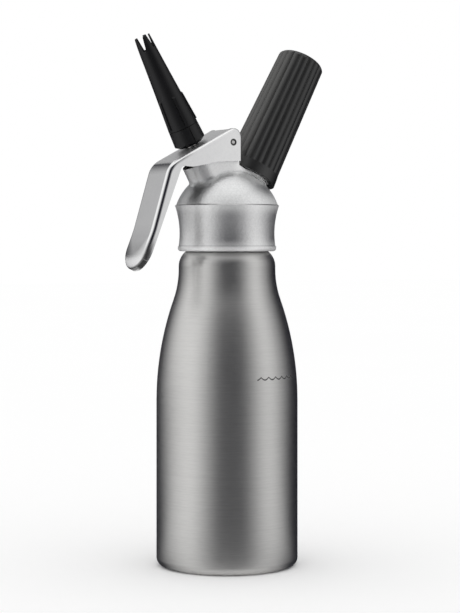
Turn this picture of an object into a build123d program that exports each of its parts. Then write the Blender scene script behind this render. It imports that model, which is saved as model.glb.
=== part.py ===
from build123d import *
import os
from math import acos, asin, cos, degrees, radians, sin, sqrt

# Cream whipper: pressure bottle, screw-on head with a lever valve, piping tip and charger holder.
# Lengths are in millimetres. The origin is the centre of the bottle's base and +Z is up.
# The lever and the tip lean towards -X, the charger holder towards +X, and XZ is the plane of symmetry.

os.makedirs("parts", exist_ok=True)

# Fits shared by all pieces
press_clearance = 0.03
running_clearance = 0.06
seat_gap = 0.1
open_gap = 0.4
thread_depth = 0.6
thread_clearance = 0.2
overcut = 1.0

# Bottle
bottle_radius = 40.0
bottle_wall = 1.5
base_corner = 4.5
base_recess = 1.6
foot_width = 5.0
recess_slope = 4.0
body_height = 93.0
shoulder_radius = 173.0
blend_radius = 52.0
waist_radius = 27.4
waist_height = 1.58
neck_round = 11.0
neck_root_radius = 22.4
neck_length = 14.6
neck_wall = 2.4
gasket_thickness = 2.0
gasket_inset = 0.3

# Head
skirt_overlap = 0.7
mouth_bevel = 1.0
lip_radius = 27.9
lip_height = 2.8
lip_round = 1.8
skirt_waist_radius = 26.9
skirt_waist_height = 10.2
ridge_radius = 29.5
ridge_height = 25.8
ridge_band = 0.6
dome_centre_height = 16.2
dome_radius = 30.5
cavity_radius = 20.0
cavity_dome_radius = 22.0

# Valve tube, seat and stem, with stations counted from the dome's centre along the valve axis
valve_tilt = 28.0
tube_radius = 10.0
tube_rim = 38.7
flare_top = 31.2
flare_radius = 4.0
flare_depth = 3.5
flare_levels = 4
flare_inset = 0.1
valve_seat = 21.6
seat_face_radius = 6.6
throat_radius = 4.2
throat_depth = 3.0
stem_radius = 3.0
stem_flow_radius = 1.7
stem_port_radius = 1.2
stem_foot_radius = 2.0
o_ring_section = 1.2
bush_spigot = 2.45
bush_flange = 1.5
chamber_radius = 8.4
seal_radius = 6.2
seal_thickness = 2.9
seal_nut_size = 4.2
seal_nut_height = 2.6
stem_foot_end = 0.4
collar_radius = 6.4
collar_height = 4.4
collar_bevel = 0.8
spring_wire_radius = 0.55
spring_mean_radius = 5.2
spring_turns = 5.0

# Lever
web_top = 48.5
web_thickness = 1.6
cheek_thickness = 2.0
lever_side_gap = 0.5
lever_play = 0.8
web_hole_radius = 4.2
pivot_across = 18.5
pivot_along = 41.1
ear_radius = 4.5
pin_radius = 1.65
pin_recess = 0.1
pin_bevel = 0.75
heel_reach = 4.6
heel_round = 4.4
heel_drop = 10.4
bend_reach = 23.0
bend_radius = 13.0
handle_slope = 16.6
handle_length = 38.0
kick_slope = 22.0
kick_length = 22.7
kick_radius = 60.0
crotch_reach = 16.8
crotch_depth = 4.3
crotch_round = 2.5
cheek_point_reach = 10.3
cheek_point_depth = 8.2
cheek_point_round = 2.0
cheek_arch = 1.1
cheek_arch_round = 40.0
flange_tip_depth = 4.6
lever_edge_round = 2.4

# Nozzle
adaptor_gap = 1.3
adaptor_foot_radius = 6.7
adaptor_radius = 9.05
adaptor_top_radius = 8.6
adaptor_height = 10.65
adaptor_bevel = 1.7
adaptor_socket_depth = 8.2
adaptor_mark_width = 0.5
adaptor_mark_depth = 0.3
adaptor_mark_angle = -98.0
spigot_root_radius = 5.6
spigot_length = 6.5
spigot_flow_radius = 2.4
tip_seam = 0.3
washer_thickness = 0.6
washer_inset = 1.3
tip_base_radius = 8.62
tip_end_radius = 4.6
tip_length = 55.1
tip_sag = 0.15
tip_socket_top_radius = 5.2
tip_wall = 1.0
fin_count = 5
fin_angle = -102.0
fin_start = 1.4
fin_length = 18.5
fin_width = 1.5
fin_height = 0.6
fin_slope = 2.4
prong_length = 8.0
slit_foot_width = 1.7
slit_mouth_width = 4.0

# Charger side, with stations counted from the dome's centre along the charger axis
charger_tilt = 28.0
fin_top = 29.6
fin_overhang = 1.7
lug_clearance = 0.6
stud_root_radius = 9.8
stud_end = 42.0
gas_hole_radius = 1.5
check_floor = 27.5
check_pocket_radius = 3.6
check_pocket_depth = 2.5
check_disc_thickness = 1.2
check_disc_gap = 0.3
pin_bore_radius = 5.0
needle_radius = 1.1
needle_length = 9.0
needle_point = 2.0
needle_hole_radius = 0.45
pin_flange = 2.0
pin_nut_height = 2.4
pin_nut_slot = 1.2
piercing_gasket_height = 2.7
charger_radius = 9.0
charger_length = 66.0
charger_wall = 1.4
charger_neck_radius = 4.3
charger_neck_length = 8.4
charger_shoulder_length = 8.0
holder_base_radius = 15.5
holder_top_radius = 13.6
holder_cap = 4.0
holder_rim_round = 0.4
holder_rim_flare = 0.45
holder_rim_step = 0.06
holder_top_round = 4.5
holder_crown = 0.8
rib_count = 18
rib_round = 4.0
rib_crest_angle = 7.0
rib_start = 6.0
sleeve_wall = 1.75
sleeve_inset = 1.0
sleeve_length = 13.0

# Heights that follow from the sizes above
shoulder_turn = acos(1 - (bottle_radius - waist_radius) / (shoulder_radius + blend_radius))
waist_z = body_height + (shoulder_radius + blend_radius) * sin(shoulder_turn)
neck_shoulder_z = waist_z + waist_height
neck_turn = acos(1 - (waist_radius - neck_root_radius) / neck_round)
neck_base_z = neck_shoulder_z + neck_round * sin(neck_turn)
neck_top_z = neck_base_z + neck_length
neck_bore_radius = neck_root_radius - neck_wall
neck_thread_bore = neck_root_radius + thread_depth + thread_clearance
gasket_z = neck_top_z + seat_gap
head_seat_z = gasket_z + gasket_thickness + seat_gap
skirt_z = neck_base_z - skirt_overlap
dome_centre_z = skirt_z + dome_centre_height

# Stations along the valve axis
ring_floor = valve_seat + throat_depth
ring_bore_radius = stem_radius + running_clearance + 2 * o_ring_section + running_clearance
bush_foot = ring_floor + 2 * o_ring_section + 2 * seat_gap
chamber_floor = bush_foot + bush_spigot
spring_seat = chamber_floor + bush_flange + 2 * seat_gap
collar_top = web_top - web_thickness - lever_play
collar_foot = collar_top - collar_height
seal_top = valve_seat - open_gap
seal_foot = seal_top - seal_thickness
stem_foot = seal_foot - seal_nut_height - stem_foot_end - seat_gap
adaptor_foot = web_top + adaptor_gap
adaptor_top = adaptor_foot + adaptor_height
stem_top = adaptor_foot + adaptor_socket_depth - seat_gap
tip_foot = adaptor_top + tip_seam
washer_foot = adaptor_top + seat_gap
washer_pocket_end = washer_foot + washer_thickness + seat_gap
washer_radius = adaptor_top_radius - washer_inset
tip_end = tip_foot + tip_length
tip_socket_radius = spigot_root_radius + thread_depth + thread_clearance
tip_socket_end = adaptor_top + spigot_length + open_gap

# Stations along the charger axis
pin_seat = check_floor + check_pocket_depth
pin_foot = pin_seat + seat_gap
pin_nut_foot = pin_foot + pin_flange + seat_gap
piercing_gasket_foot = pin_nut_foot + pin_nut_height + seat_gap
charger_foot = piercing_gasket_foot + piercing_gasket_height + 2 * seat_gap
charger_end = charger_foot + charger_length
holder_bore_radius = charger_radius + open_gap
holder_base = fin_top + open_gap
holder_rim_radius = holder_base_radius + holder_rim_flare
holder_end = charger_end + open_gap + holder_cap
sleeve_bore = stud_root_radius + thread_depth + thread_clearance
sleeve_radius = sleeve_bore + sleeve_wall
sleeve_foot = holder_base + sleeve_inset
sleeve_pocket_end = sleeve_foot + sleeve_length + press_clearance

# The two tilted axes, as planes across them and as section planes along them
valve_sin = sin(radians(valve_tilt))
valve_cos = cos(radians(valve_tilt))
charger_sin = sin(radians(charger_tilt))
charger_cos = cos(radians(charger_tilt))
dome_centre = (0, 0, dome_centre_z)
valve_plane = Plane(dome_centre, x_dir=(valve_cos, 0, valve_sin), z_dir=(-valve_sin, 0, valve_cos))
valve_section = Plane(dome_centre, x_dir=valve_plane.x_dir, z_dir=(0, -1, 0))
valve_axis = Axis(dome_centre, valve_plane.z_dir)
charger_plane = Plane(dome_centre, x_dir=(charger_cos, 0, -charger_sin), z_dir=(charger_sin, 0, charger_cos))
charger_section = Plane(dome_centre, x_dir=charger_plane.x_dir, z_dir=(0, -1, 0))
charger_axis = Axis(dome_centre, charger_plane.z_dir)


def valve_point(across, along):
    """Point of the XZ plane at a station of the valve axis."""
    return (
        across * valve_cos - along * valve_sin,
        dome_centre_z + across * valve_sin + along * valve_cos,
    )


def charger_point(across, along):
    """Point of the XZ plane at a station of the charger axis."""
    return (
        across * charger_cos + along * charger_sin,
        dome_centre_z - across * charger_sin + along * charger_cos,
    )


def turned(section, axis, points):
    """Piece turned on a lathe from a closed outline of radius and station pairs."""
    with BuildPart() as piece:
        with BuildSketch(section):
            with BuildLine():
                Polyline(*points, close=True)
            make_face()
        revolve(axis=axis)
    return piece


def ring_outline(inner, outer, low, high):
    """Outline of a plain ring."""
    return [(inner, low), (outer, low), (outer, high), (inner, high)]


# Bottle: thin wall drawn along its outer line, with a thicker neck
with BuildPart() as bottle:
    with BuildSketch(Plane.XZ):
        with BuildLine():
            foot_radius = bottle_radius - base_corner
            recess = Line((0, base_recess), (foot_radius - foot_width - recess_slope, base_recess))
            slope = Line(recess @ 1, (foot_radius - foot_width, 0))
            foot = Line(slope @ 1, (foot_radius, 0))
            corner = JernArc(foot @ 1, foot % 1, base_corner, 90)
            body = Line(corner @ 1, (bottle_radius, body_height))
            shoulder = JernArc(body @ 1, body % 1, shoulder_radius, degrees(shoulder_turn))
            blend = JernArc(shoulder @ 1, shoulder % 1, blend_radius, -degrees(shoulder_turn))
            waist = Line(blend @ 1, (waist_radius, neck_shoulder_z))
            neck_shoulder = JernArc(waist @ 1, waist % 1, neck_round, degrees(neck_turn))
            Line(neck_shoulder @ 1, (neck_root_radius, neck_top_z))
            offset(amount=bottle_wall, side=Side.LEFT)
        make_face()
    revolve(axis=Axis.Z)
    with BuildSketch(Plane.XY.offset(neck_base_z - bottle_wall / 2)):
        Circle(neck_root_radius - bottle_wall / 2)
        Circle(neck_bore_radius, mode=Mode.SUBTRACT)
    extrude(amount=neck_length + bottle_wall / 2)

bottle.part.label = "bottle"
export_step(bottle.part, "parts/bottle.step")

# Head gasket: flat ring on the bottle's rim
with BuildPart() as head_gasket:
    with BuildSketch(Plane.XY.offset(gasket_z)):
        Circle(neck_thread_bore - gasket_inset)
        Circle(neck_bore_radius, mode=Mode.SUBTRACT)
    extrude(amount=gasket_thickness)

head_gasket.part.label = "head_gasket"
export_step(head_gasket.part, "parts/head_gasket.step")

# Head: fin and pivot lug between two round ends, flared valve tube, skirt, dome and charger stud
pivot = valve_point(pivot_across, pivot_along)
relief_radius = holder_rim_radius + lug_clearance
lug_side = -sqrt(relief_radius**2 - tube_radius**2)
fin_reach = 2 * dome_radius

with BuildPart() as head:
    with BuildSketch(valve_plane):
        with Locations((fin_reach / 2, 0)):
            SlotCenterToCenter(fin_reach, 2 * tube_radius)
    extrude(amount=fin_reach)
    with BuildSketch(charger_plane):
        with Locations((fin_overhang - fin_reach / 2, 0)):
            SlotCenterToCenter(fin_reach, 2 * tube_radius)
    extrude(amount=fin_reach, mode=Mode.INTERSECT)
    with BuildSketch(Plane.XZ):
        with Locations(pivot):
            Circle(ear_radius)
        Polygon(
            valve_point(tube_radius, tube_rim),
            charger_point(lug_side, fin_top),
            charger_point(lug_side, cavity_dome_radius),
            align=None,
        )
        make_hull()
        Polygon(
            valve_point(-2 * tube_radius, valve_seat),
            valve_point(-2 * tube_radius, tube_rim),
            valve_point(tube_radius, tube_rim),
            charger_point(lug_side, fin_top),
            charger_point(2 * tube_radius, fin_top),
            charger_point(2 * tube_radius, valve_seat),
            align=None,
        )
    extrude(amount=bottle_radius, both=True, mode=Mode.INTERSECT)
    with BuildSketch(charger_plane.offset(fin_top)):
        Circle(relief_radius)
    extrude(amount=fin_reach, mode=Mode.SUBTRACT)

    for level in range(flare_levels + 1):
        drop = flare_depth * level / flare_levels
        spread = (flare_radius - sqrt(flare_radius**2 - drop**2)) / 2
        with BuildSketch(valve_plane.offset(flare_top - drop)):
            with Locations((-spread, 0)):
                Circle(tube_radius + spread - flare_inset)
    loft()

    with BuildSketch(Plane.YZ):
        with BuildLine():
            ridge_z = skirt_z + ridge_height
            dome_foot_z = ridge_z + ridge_band
            dome_foot_angle = degrees(asin((dome_foot_z - dome_centre_z) / dome_radius))
            lip_foot = Line((0, skirt_z), (lip_radius - lip_round, skirt_z))
            lip_corner = JernArc(lip_foot @ 1, lip_foot % 1, lip_round, 90)
            lip_side = Line(lip_corner @ 1, (lip_radius, skirt_z + lip_height))
            skirt_side = ThreePointArc(
                (lip_radius - lip_round / 4, skirt_z + lip_height),
                (skirt_waist_radius, skirt_z + skirt_waist_height),
                (ridge_radius, ridge_z),
            )
            Line(lip_side @ 1, skirt_side @ 0)
            dome_side = CenterArc((0, dome_centre_z), dome_radius, dome_foot_angle, 90 - dome_foot_angle)
            Line(skirt_side @ 1, dome_side @ 0)
            Polyline(dome_side @ 1, lip_foot @ 0)
        make_face()
    revolve(axis=Axis.Z)
    with BuildSketch(charger_plane):
        Circle(stud_root_radius)
    extrude(amount=stud_end)

    with BuildSketch(Plane.XZ):
        with BuildLine():
            cavity_angle = degrees(acos(cavity_radius / cavity_dome_radius))
            roof = CenterArc((0, dome_centre_z), cavity_dome_radius, cavity_angle, 90 - cavity_angle)
            Polyline(
                roof @ 1,
                (0, skirt_z - overcut),
                (neck_thread_bore + mouth_bevel + overcut, skirt_z - overcut),
                (neck_thread_bore, skirt_z + mouth_bevel),
                (neck_thread_bore, head_seat_z),
                (cavity_radius, head_seat_z),
                roof @ 0,
            )
        make_face()
    revolve(axis=Axis.Z, mode=Mode.SUBTRACT)
    with BuildSketch(valve_section):
        Polygon(
            (0, valve_seat - 2 * seal_thickness),
            (seat_face_radius, valve_seat - 2 * seal_thickness),
            (seat_face_radius, valve_seat),
            (throat_radius, valve_seat),
            (throat_radius, ring_floor),
            (ring_bore_radius, ring_floor),
            (ring_bore_radius, chamber_floor),
            (chamber_radius, chamber_floor),
            (chamber_radius, tube_rim + overcut),
            (0, tube_rim + overcut),
            align=None,
        )
    revolve(axis=valve_axis, mode=Mode.SUBTRACT)
    with BuildSketch(charger_section):
        Polygon(
            (0, cavity_dome_radius - overcut),
            (gas_hole_radius, cavity_dome_radius - overcut),
            (gas_hole_radius, check_floor),
            (check_pocket_radius, check_floor),
            (check_pocket_radius, pin_seat),
            (pin_bore_radius, pin_seat),
            (pin_bore_radius, stud_end + overcut),
            (0, stud_end + overcut),
            align=None,
        )
    revolve(axis=charger_axis, mode=Mode.SUBTRACT)
    with BuildSketch(Plane.XZ):
        with Locations(pivot):
            Circle(pin_radius + running_clearance)
    extrude(amount=bottle_radius, both=True, mode=Mode.SUBTRACT)

head.part.label = "head"
export_step(head.part, "parts/head.step")

# Lever: channel with a web, two cheeks and a flanged handle with a round end
lever_half_width = tube_radius + lever_side_gap + cheek_thickness
channel_half_width = lever_half_width - cheek_thickness
handle_angle = radians(handle_slope)
handle_down = Vector(-sin(handle_angle), -cos(handle_angle))
handle_inward = Vector(cos(handle_angle), -sin(handle_angle))
kick_angle = radians(kick_slope)
kick_down = Vector(-sin(kick_angle), -cos(kick_angle))
kick_inward = Vector(cos(kick_angle), -sin(kick_angle))
web_inward = Vector(valve_sin, -valve_cos)
bend_inward = (web_inward + handle_inward) / (1 + web_inward.dot(handle_inward))
knee_inward = (handle_inward + kick_inward) / (1 + handle_inward.dot(kick_inward))
bend_corner = Vector(*valve_point(-bend_reach, web_top))
knee_corner = bend_corner + handle_down * handle_length
heel_x = pivot[0] + heel_reach
far_heel = 4 * heel_reach


def lever_block(inset, opening, half_width):
    """Lever filled in, with its skin moved in by inset and its open edge moved out by opening."""
    far_top = Vector(*valve_point(pivot_across + far_heel, web_top - inset))
    bend = bend_corner + bend_inward * inset
    knee = knee_corner + knee_inward * inset
    tip = knee_corner + kick_down * (kick_length - inset)
    tip_out = tip + kick_inward * inset
    tip_in = tip + kick_inward * (flange_tip_depth + opening)
    crotch = Vector(*valve_point(-crotch_reach, web_top - crotch_depth)) + bend_inward * opening
    heel = Vector(heel_x, pivot[1] - heel_drop - opening)
    cheek_point = Vector(*valve_point(-cheek_point_reach, web_top - cheek_point_depth)) - Vector(0, opening)
    arch = (cheek_point + heel) / 2 + Vector(0, cheek_arch)
    far_foot = heel + (heel - arch).normalized() * far_heel
    open_edge = (tip_in, crotch, cheek_point, arch, far_foot)
    outline = [(p.X, p.Y) for p in (far_top, bend, knee, tip_out, *open_edge)]
    with BuildPart() as block:
        with BuildSketch(Plane.XZ) as side:
            Polygon(*outline, align=None)
            fillet(side.vertices().sort_by_distance(bend)[0], bend_radius - inset)
            fillet(side.vertices().sort_by_distance(knee)[0], kick_radius + inset)
            fillet(side.vertices().sort_by_distance(crotch)[0], crotch_round)
            fillet(side.vertices().sort_by_distance(cheek_point)[0], cheek_point_round)
            fillet(side.vertices().sort_by_distance(arch)[0], cheek_arch_round)
        extrude(amount=half_width, both=True)
        across_tip = Axis((0, 0, 0), (kick_inward.X, 0, kick_inward.Y))
        fillet(block.edges().filter_by(across_tip), half_width - seat_gap)
        if inset == 0:
            along_handle = Axis((0, 0, 0), (handle_down.X, 0, handle_down.Y))
            fillet(block.edges().filter_by(along_handle), lever_edge_round)
    return block.part


lever_skin = lever_block(0, 0, lever_half_width)
lever_channel = lever_block(web_thickness, crotch_depth, channel_half_width)
heel_round_along = web_top - heel_round
heel_round_across = (heel_x - heel_round + heel_round_along * valve_sin) / valve_cos
heel_round_z = valve_point(heel_round_across, heel_round_along)[1]

with BuildPart() as lever:
    add(lever_skin)
    add(lever_channel, mode=Mode.SUBTRACT)
    with BuildSketch(valve_section):
        with Locations((heel_round_across, web_top - web_thickness - overcut)):
            Rectangle(far_heel, far_heel, align=(Align.MIN, Align.MIN))
    extrude(amount=channel_half_width, both=True, mode=Mode.SUBTRACT)
    with BuildSketch(Plane.XZ):
        with BuildLine():
            heel_arc = JernArc((heel_x, heel_round_z), (0, 1), heel_round, 90 + valve_tilt)
            Polyline(
                heel_arc @ 1,
                (heel_arc @ 1) + (0, dome_radius),
                (-dome_centre_z, dome_centre_z + 4 * dome_radius),
                (-dome_centre_z, 0),
                (heel_x, 0),
                heel_arc @ 0,
            )
        make_face()
    extrude(amount=bottle_radius, both=True, mode=Mode.INTERSECT)
    with BuildSketch(valve_plane.offset(web_top - web_thickness - overcut)):
        Circle(web_hole_radius)
    extrude(amount=web_thickness + 2 * overcut, mode=Mode.SUBTRACT)
    with BuildSketch(Plane.XZ):
        with Locations(pivot):
            Circle(pin_radius + press_clearance)
    extrude(amount=lever_half_width + overcut, both=True, mode=Mode.SUBTRACT)

lever.part.label = "lever"
export_step(lever.part, "parts/lever.step")

# Lever pin: plain pin with broad bevels at its ends
with BuildPart() as lever_pin:
    with BuildSketch(Plane.XZ):
        with Locations(pivot):
            Circle(pin_radius)
    extrude(amount=lever_half_width - pin_recess, both=True)
    chamfer(lever_pin.edges().filter_by(GeomType.CIRCLE), pin_bevel)

lever_pin.part.label = "lever_pin"
export_step(lever_pin.part, "parts/lever_pin.step")

# Valve stem: hollow rod with a thrust collar, two side ports and a threaded foot
with BuildPart() as valve_stem:
    with BuildSketch(valve_section):
        Polygon(
            (0, stem_foot),
            (stem_foot_radius, stem_foot),
            (stem_foot_radius, seal_top),
            (stem_radius, seal_top),
            (stem_radius, collar_foot),
            (collar_radius, collar_foot),
            (collar_radius, collar_top - collar_bevel),
            (collar_radius - collar_bevel, collar_top),
            (stem_radius, collar_top),
            (stem_radius, stem_top),
            (stem_flow_radius, stem_top),
            (stem_flow_radius, valve_seat),
            (0, valve_seat),
            align=None,
        )
    revolve(axis=valve_axis)
    port_centre = valve_plane.from_local_coords((0, 0, valve_seat + throat_depth / 2))
    with BuildSketch(Plane(port_centre, x_dir=valve_plane.x_dir, z_dir=(0, 1, 0))):
        Circle(stem_port_radius)
    extrude(amount=stem_radius + overcut, both=True, mode=Mode.SUBTRACT)

valve_stem.part.label = "valve_stem"
export_step(valve_stem.part, "parts/valve_stem.step")

# Valve seal: rubber disc under the valve seat
stem_foot_hole = stem_foot_radius + press_clearance
valve_seal = turned(
    valve_section,
    valve_axis,
    ring_outline(stem_foot_hole, seal_radius, seal_foot, seal_top - press_clearance),
)
valve_seal.part.label = "valve_seal"
export_step(valve_seal.part, "parts/valve_seal.step")

# Seal nut: six-sided nut on the stem's foot
with BuildPart() as seal_nut:
    with BuildSketch(valve_plane.offset(seal_foot - seat_gap - seal_nut_height)):
        RegularPolygon(seal_nut_size, 6)
        Circle(stem_foot_hole, mode=Mode.SUBTRACT)
    extrude(amount=seal_nut_height)

seal_nut.part.label = "seal_nut"
export_step(seal_nut.part, "parts/seal_nut.step")

# Stem O-ring: seal in the bore above the throat
with BuildPart() as stem_o_ring:
    with BuildSketch(valve_section):
        o_ring_radius = stem_radius + running_clearance + o_ring_section
        with Locations((o_ring_radius, ring_floor + seat_gap + o_ring_section)):
            Circle(o_ring_section)
    revolve(axis=valve_axis)

stem_o_ring.part.label = "stem_o_ring"
export_step(stem_o_ring.part, "parts/stem_o_ring.step")

# Guide bush: flanged bush that keeps the O-ring in and guides the stem
bush_bore = stem_radius + running_clearance
bush_flange_foot = chamber_floor + seat_gap
guide_bush = turned(
    valve_section,
    valve_axis,
    [
        (bush_bore, bush_foot),
        (ring_bore_radius - press_clearance, bush_foot),
        (ring_bore_radius - press_clearance, bush_flange_foot),
        (chamber_radius - press_clearance, bush_flange_foot),
        (chamber_radius - press_clearance, bush_flange_foot + bush_flange),
        (bush_bore, bush_flange_foot + bush_flange),
    ],
)
guide_bush.part.label = "guide_bush"
export_step(guide_bush.part, "parts/guide_bush.step")

# Valve spring: compression spring between the bush and the stem's collar
spring_room = collar_foot - spring_seat - 2 * seat_gap - 2 * spring_wire_radius
with BuildPart() as valve_spring:
    with BuildLine():
        coil = Helix(
            spring_room / spring_turns,
            spring_room,
            spring_mean_radius,
            center=valve_plane.from_local_coords((0, 0, spring_seat + seat_gap + spring_wire_radius)),
            direction=valve_plane.z_dir,
        )
    with BuildSketch(Plane(coil @ 0, z_dir=coil % 0)):
        Circle(spring_wire_radius)
    sweep(is_frenet=True)

valve_spring.part.label = "valve_spring"
export_step(valve_spring.part, "parts/valve_spring.step")

# Nozzle adaptor: collar that screws onto the stem, with a spigot for the tip
socket_radius = stem_radius + press_clearance
with BuildPart() as nozzle_adaptor:
    with BuildSketch(valve_section):
        Polygon(
            (socket_radius, adaptor_foot),
            (adaptor_foot_radius, adaptor_foot),
            (adaptor_radius, adaptor_foot + adaptor_bevel),
            (adaptor_top_radius, adaptor_top),
            (spigot_root_radius, adaptor_top),
            (spigot_root_radius, adaptor_top + spigot_length),
            (spigot_flow_radius, adaptor_top + spigot_length),
            (spigot_flow_radius, adaptor_foot + adaptor_socket_depth),
            (socket_radius, adaptor_foot + adaptor_socket_depth),
            align=None,
        )
    revolve(axis=valve_axis)
    with BuildSketch(valve_plane.offset(adaptor_foot)):
        with PolarLocations(adaptor_top_radius - adaptor_mark_depth, 1, start_angle=adaptor_mark_angle):
            Rectangle(adaptor_radius, adaptor_mark_width, align=(Align.MIN, Align.CENTER))
    extrude(amount=adaptor_height + overcut, mode=Mode.SUBTRACT)

nozzle_adaptor.part.label = "nozzle_adaptor"
export_step(nozzle_adaptor.part, "parts/nozzle_adaptor.step")

# Tip washer: flat seal between the adaptor and the tip
tip_washer = turned(
    valve_section,
    valve_axis,
    ring_outline(
        spigot_root_radius + open_gap,
        washer_radius,
        washer_foot,
        washer_foot + washer_thickness,
    ),
)
tip_washer.part.label = "tip_washer"
export_step(tip_washer.part, "parts/tip_washer.step")

# Nozzle tip: hollow tapered tip with grip fins at its foot and slits between its prongs
fin_planes = []
slit_planes = []
for fin_index in range(fin_count):
    fin_turn = fin_angle + fin_index * 360 / fin_count
    fin_radial = valve_plane.x_dir.rotate(valve_axis, fin_turn)
    slit_radial = valve_plane.x_dir.rotate(valve_axis, fin_turn + 180 / fin_count)
    fin_planes.append(Plane(dome_centre, x_dir=fin_radial, z_dir=fin_radial.cross(valve_plane.z_dir)))
    slit_planes.append(Plane(dome_centre, x_dir=slit_radial.cross(valve_plane.z_dir) * -1, z_dir=slit_radial))

with BuildPart() as nozzle_tip:
    with BuildSketch(valve_section):
        with BuildLine():
            tip_middle = (tip_base_radius + tip_end_radius) / 2 - 2 * tip_sag
            tip_side = Bezier(
                (tip_base_radius, tip_foot),
                (tip_middle, tip_foot + tip_length / 2),
                (tip_end_radius, tip_end),
            )
            Polyline(
                tip_side @ 1,
                (tip_end_radius - tip_wall, tip_end),
                (tip_socket_top_radius, tip_socket_end),
                (tip_socket_radius, tip_socket_end),
                (tip_socket_radius, washer_pocket_end),
                (washer_radius + open_gap, washer_pocket_end),
                (washer_radius + open_gap, tip_foot),
                tip_side @ 0,
            )
        make_face()
    revolve(axis=valve_axis)
    fin_foot = tip_foot + fin_start
    fin_head = fin_foot + fin_length
    tip_taper = (tip_base_radius - tip_end_radius) / tip_length
    fin_foot_radius = tip_base_radius - tip_taper * fin_start
    fin_head_radius = fin_foot_radius - tip_taper * fin_length
    with BuildSketch(*fin_planes):
        Polygon(
            (tip_socket_radius + tip_wall, fin_foot),
            (fin_foot_radius + fin_height, fin_foot),
            (fin_head_radius + fin_height, fin_head - fin_slope),
            (tip_socket_top_radius + tip_wall, fin_head),
            align=None,
        )
    extrude(amount=fin_width / 2, both=True)
    with BuildSketch(*slit_planes):
        slit_foot = tip_end - prong_length + slit_foot_width / 2
        with Locations((0, slit_foot)):
            Circle(slit_foot_width / 2)
        Polygon(
            (-slit_foot_width / 2, slit_foot),
            (slit_foot_width / 2, slit_foot),
            (slit_mouth_width / 2, tip_end + overcut),
            (-slit_mouth_width / 2, tip_end + overcut),
            align=None,
        )
    extrude(amount=tip_base_radius, mode=Mode.SUBTRACT)

nozzle_tip.part.label = "nozzle_tip"
export_step(nozzle_tip.part, "parts/nozzle_tip.step")

# Charger holder: tapered fluted cap with a plain rim, a rounded top and a bore for the charger
with BuildPart() as charger_holder:
    rib_foot = holder_base + rib_start / 2
    for station, radius in ((rib_foot, holder_base_radius), (holder_end + overcut, holder_top_radius)):
        crest = rib_round * radius / holder_base_radius
        with BuildSketch(charger_plane.offset(station)):
            Circle(radius - crest)
            with PolarLocations(radius - crest, rib_count, start_angle=rib_crest_angle):
                Circle(crest)
    loft(ruled=True)
    with BuildSketch(charger_section) as envelope:
        with BuildLine():
            top_reach = holder_top_radius + open_gap
            crown_radius = (top_reach**2 + holder_crown**2) / (2 * holder_crown)
            crown = JernArc((0, holder_end), (1, 0), crown_radius, -degrees(asin(top_reach / crown_radius)))
            Polyline(
                crown @ 0,
                (0, holder_base),
                (holder_base_radius + open_gap, holder_base),
                crown @ 1,
            )
        make_face()
        fillet(envelope.vertices().sort_by_distance(crown @ 1)[0], holder_top_round)
    revolve(axis=charger_axis, mode=Mode.INTERSECT)
    with BuildSketch(charger_section) as rim:
        Polygon(
            (0, holder_base),
            (holder_rim_radius, holder_base),
            (holder_base_radius + holder_rim_step, holder_base + rib_start),
            (0, holder_base + rib_start),
            align=None,
        )
        fillet(rim.vertices().sort_by_distance((holder_rim_radius, holder_base))[0], holder_rim_round)
    revolve(axis=charger_axis)
    with BuildSketch(charger_section):
        with BuildLine():
            bore_round_centre = charger_end - charger_radius
            bore_top = CenterArc((0, bore_round_centre), holder_bore_radius, 0, 90)
            pocket_radius = sleeve_radius + press_clearance
            Polyline(
                bore_top @ 1,
                (0, holder_base - overcut),
                (pocket_radius, holder_base - overcut),
                (pocket_radius, sleeve_pocket_end),
                (holder_bore_radius, sleeve_pocket_end),
                bore_top @ 0,
            )
        make_face()
    revolve(axis=charger_axis, mode=Mode.SUBTRACT)

charger_holder.part.label = "charger_holder"
export_step(charger_holder.part, "parts/charger_holder.step")

# Holder sleeve: threaded metal insert in the holder's mouth
holder_sleeve = turned(
    charger_section,
    charger_axis,
    ring_outline(sleeve_bore, sleeve_radius, sleeve_foot, sleeve_foot + sleeve_length),
)
holder_sleeve.part.label = "holder_sleeve"
export_step(holder_sleeve.part, "parts/holder_sleeve.step")

# Charger: pierced steel gas bulb with a neck, a sloping shoulder and a round end
with BuildPart() as charger:
    with BuildSketch(charger_section):
        with BuildLine():
            round_centre = charger_end - charger_radius
            neck_end = charger_foot + charger_neck_length
            shoulder_end = neck_end + charger_shoulder_length
            bulb_end = CenterArc((0, round_centre), charger_radius, 0, 90)
            Polyline(
                bulb_end @ 0,
                (charger_radius, shoulder_end),
                (charger_neck_radius, neck_end),
                (charger_neck_radius, charger_foot),
                (needle_radius + open_gap, charger_foot),
                (needle_radius + open_gap, charger_foot + charger_wall),
                (charger_neck_radius - charger_wall, charger_foot + charger_wall),
                (charger_neck_radius - charger_wall, neck_end),
                (charger_radius - charger_wall, shoulder_end),
                (charger_radius - charger_wall, round_centre),
            )
            bulb_inside = CenterArc((0, round_centre), charger_radius - charger_wall, 0, 90)
            Line(bulb_inside @ 1, bulb_end @ 1)
        make_face()
    revolve(axis=charger_axis)

charger.part.label = "charger"
export_step(charger.part, "parts/charger.step")

# Piercing pin: hollow needle on a round flange
needle_shoulder = pin_foot + pin_flange
needle_end = needle_shoulder + needle_length
piercing_pin = turned(
    charger_section,
    charger_axis,
    [
        (needle_hole_radius, pin_foot),
        (pin_bore_radius - press_clearance, pin_foot),
        (pin_bore_radius - press_clearance, needle_shoulder),
        (needle_radius, needle_shoulder),
        (needle_radius, needle_end - needle_point),
        (needle_hole_radius, needle_end),
    ],
)
piercing_pin.part.label = "piercing_pin"
export_step(piercing_pin.part, "parts/piercing_pin.step")

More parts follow.
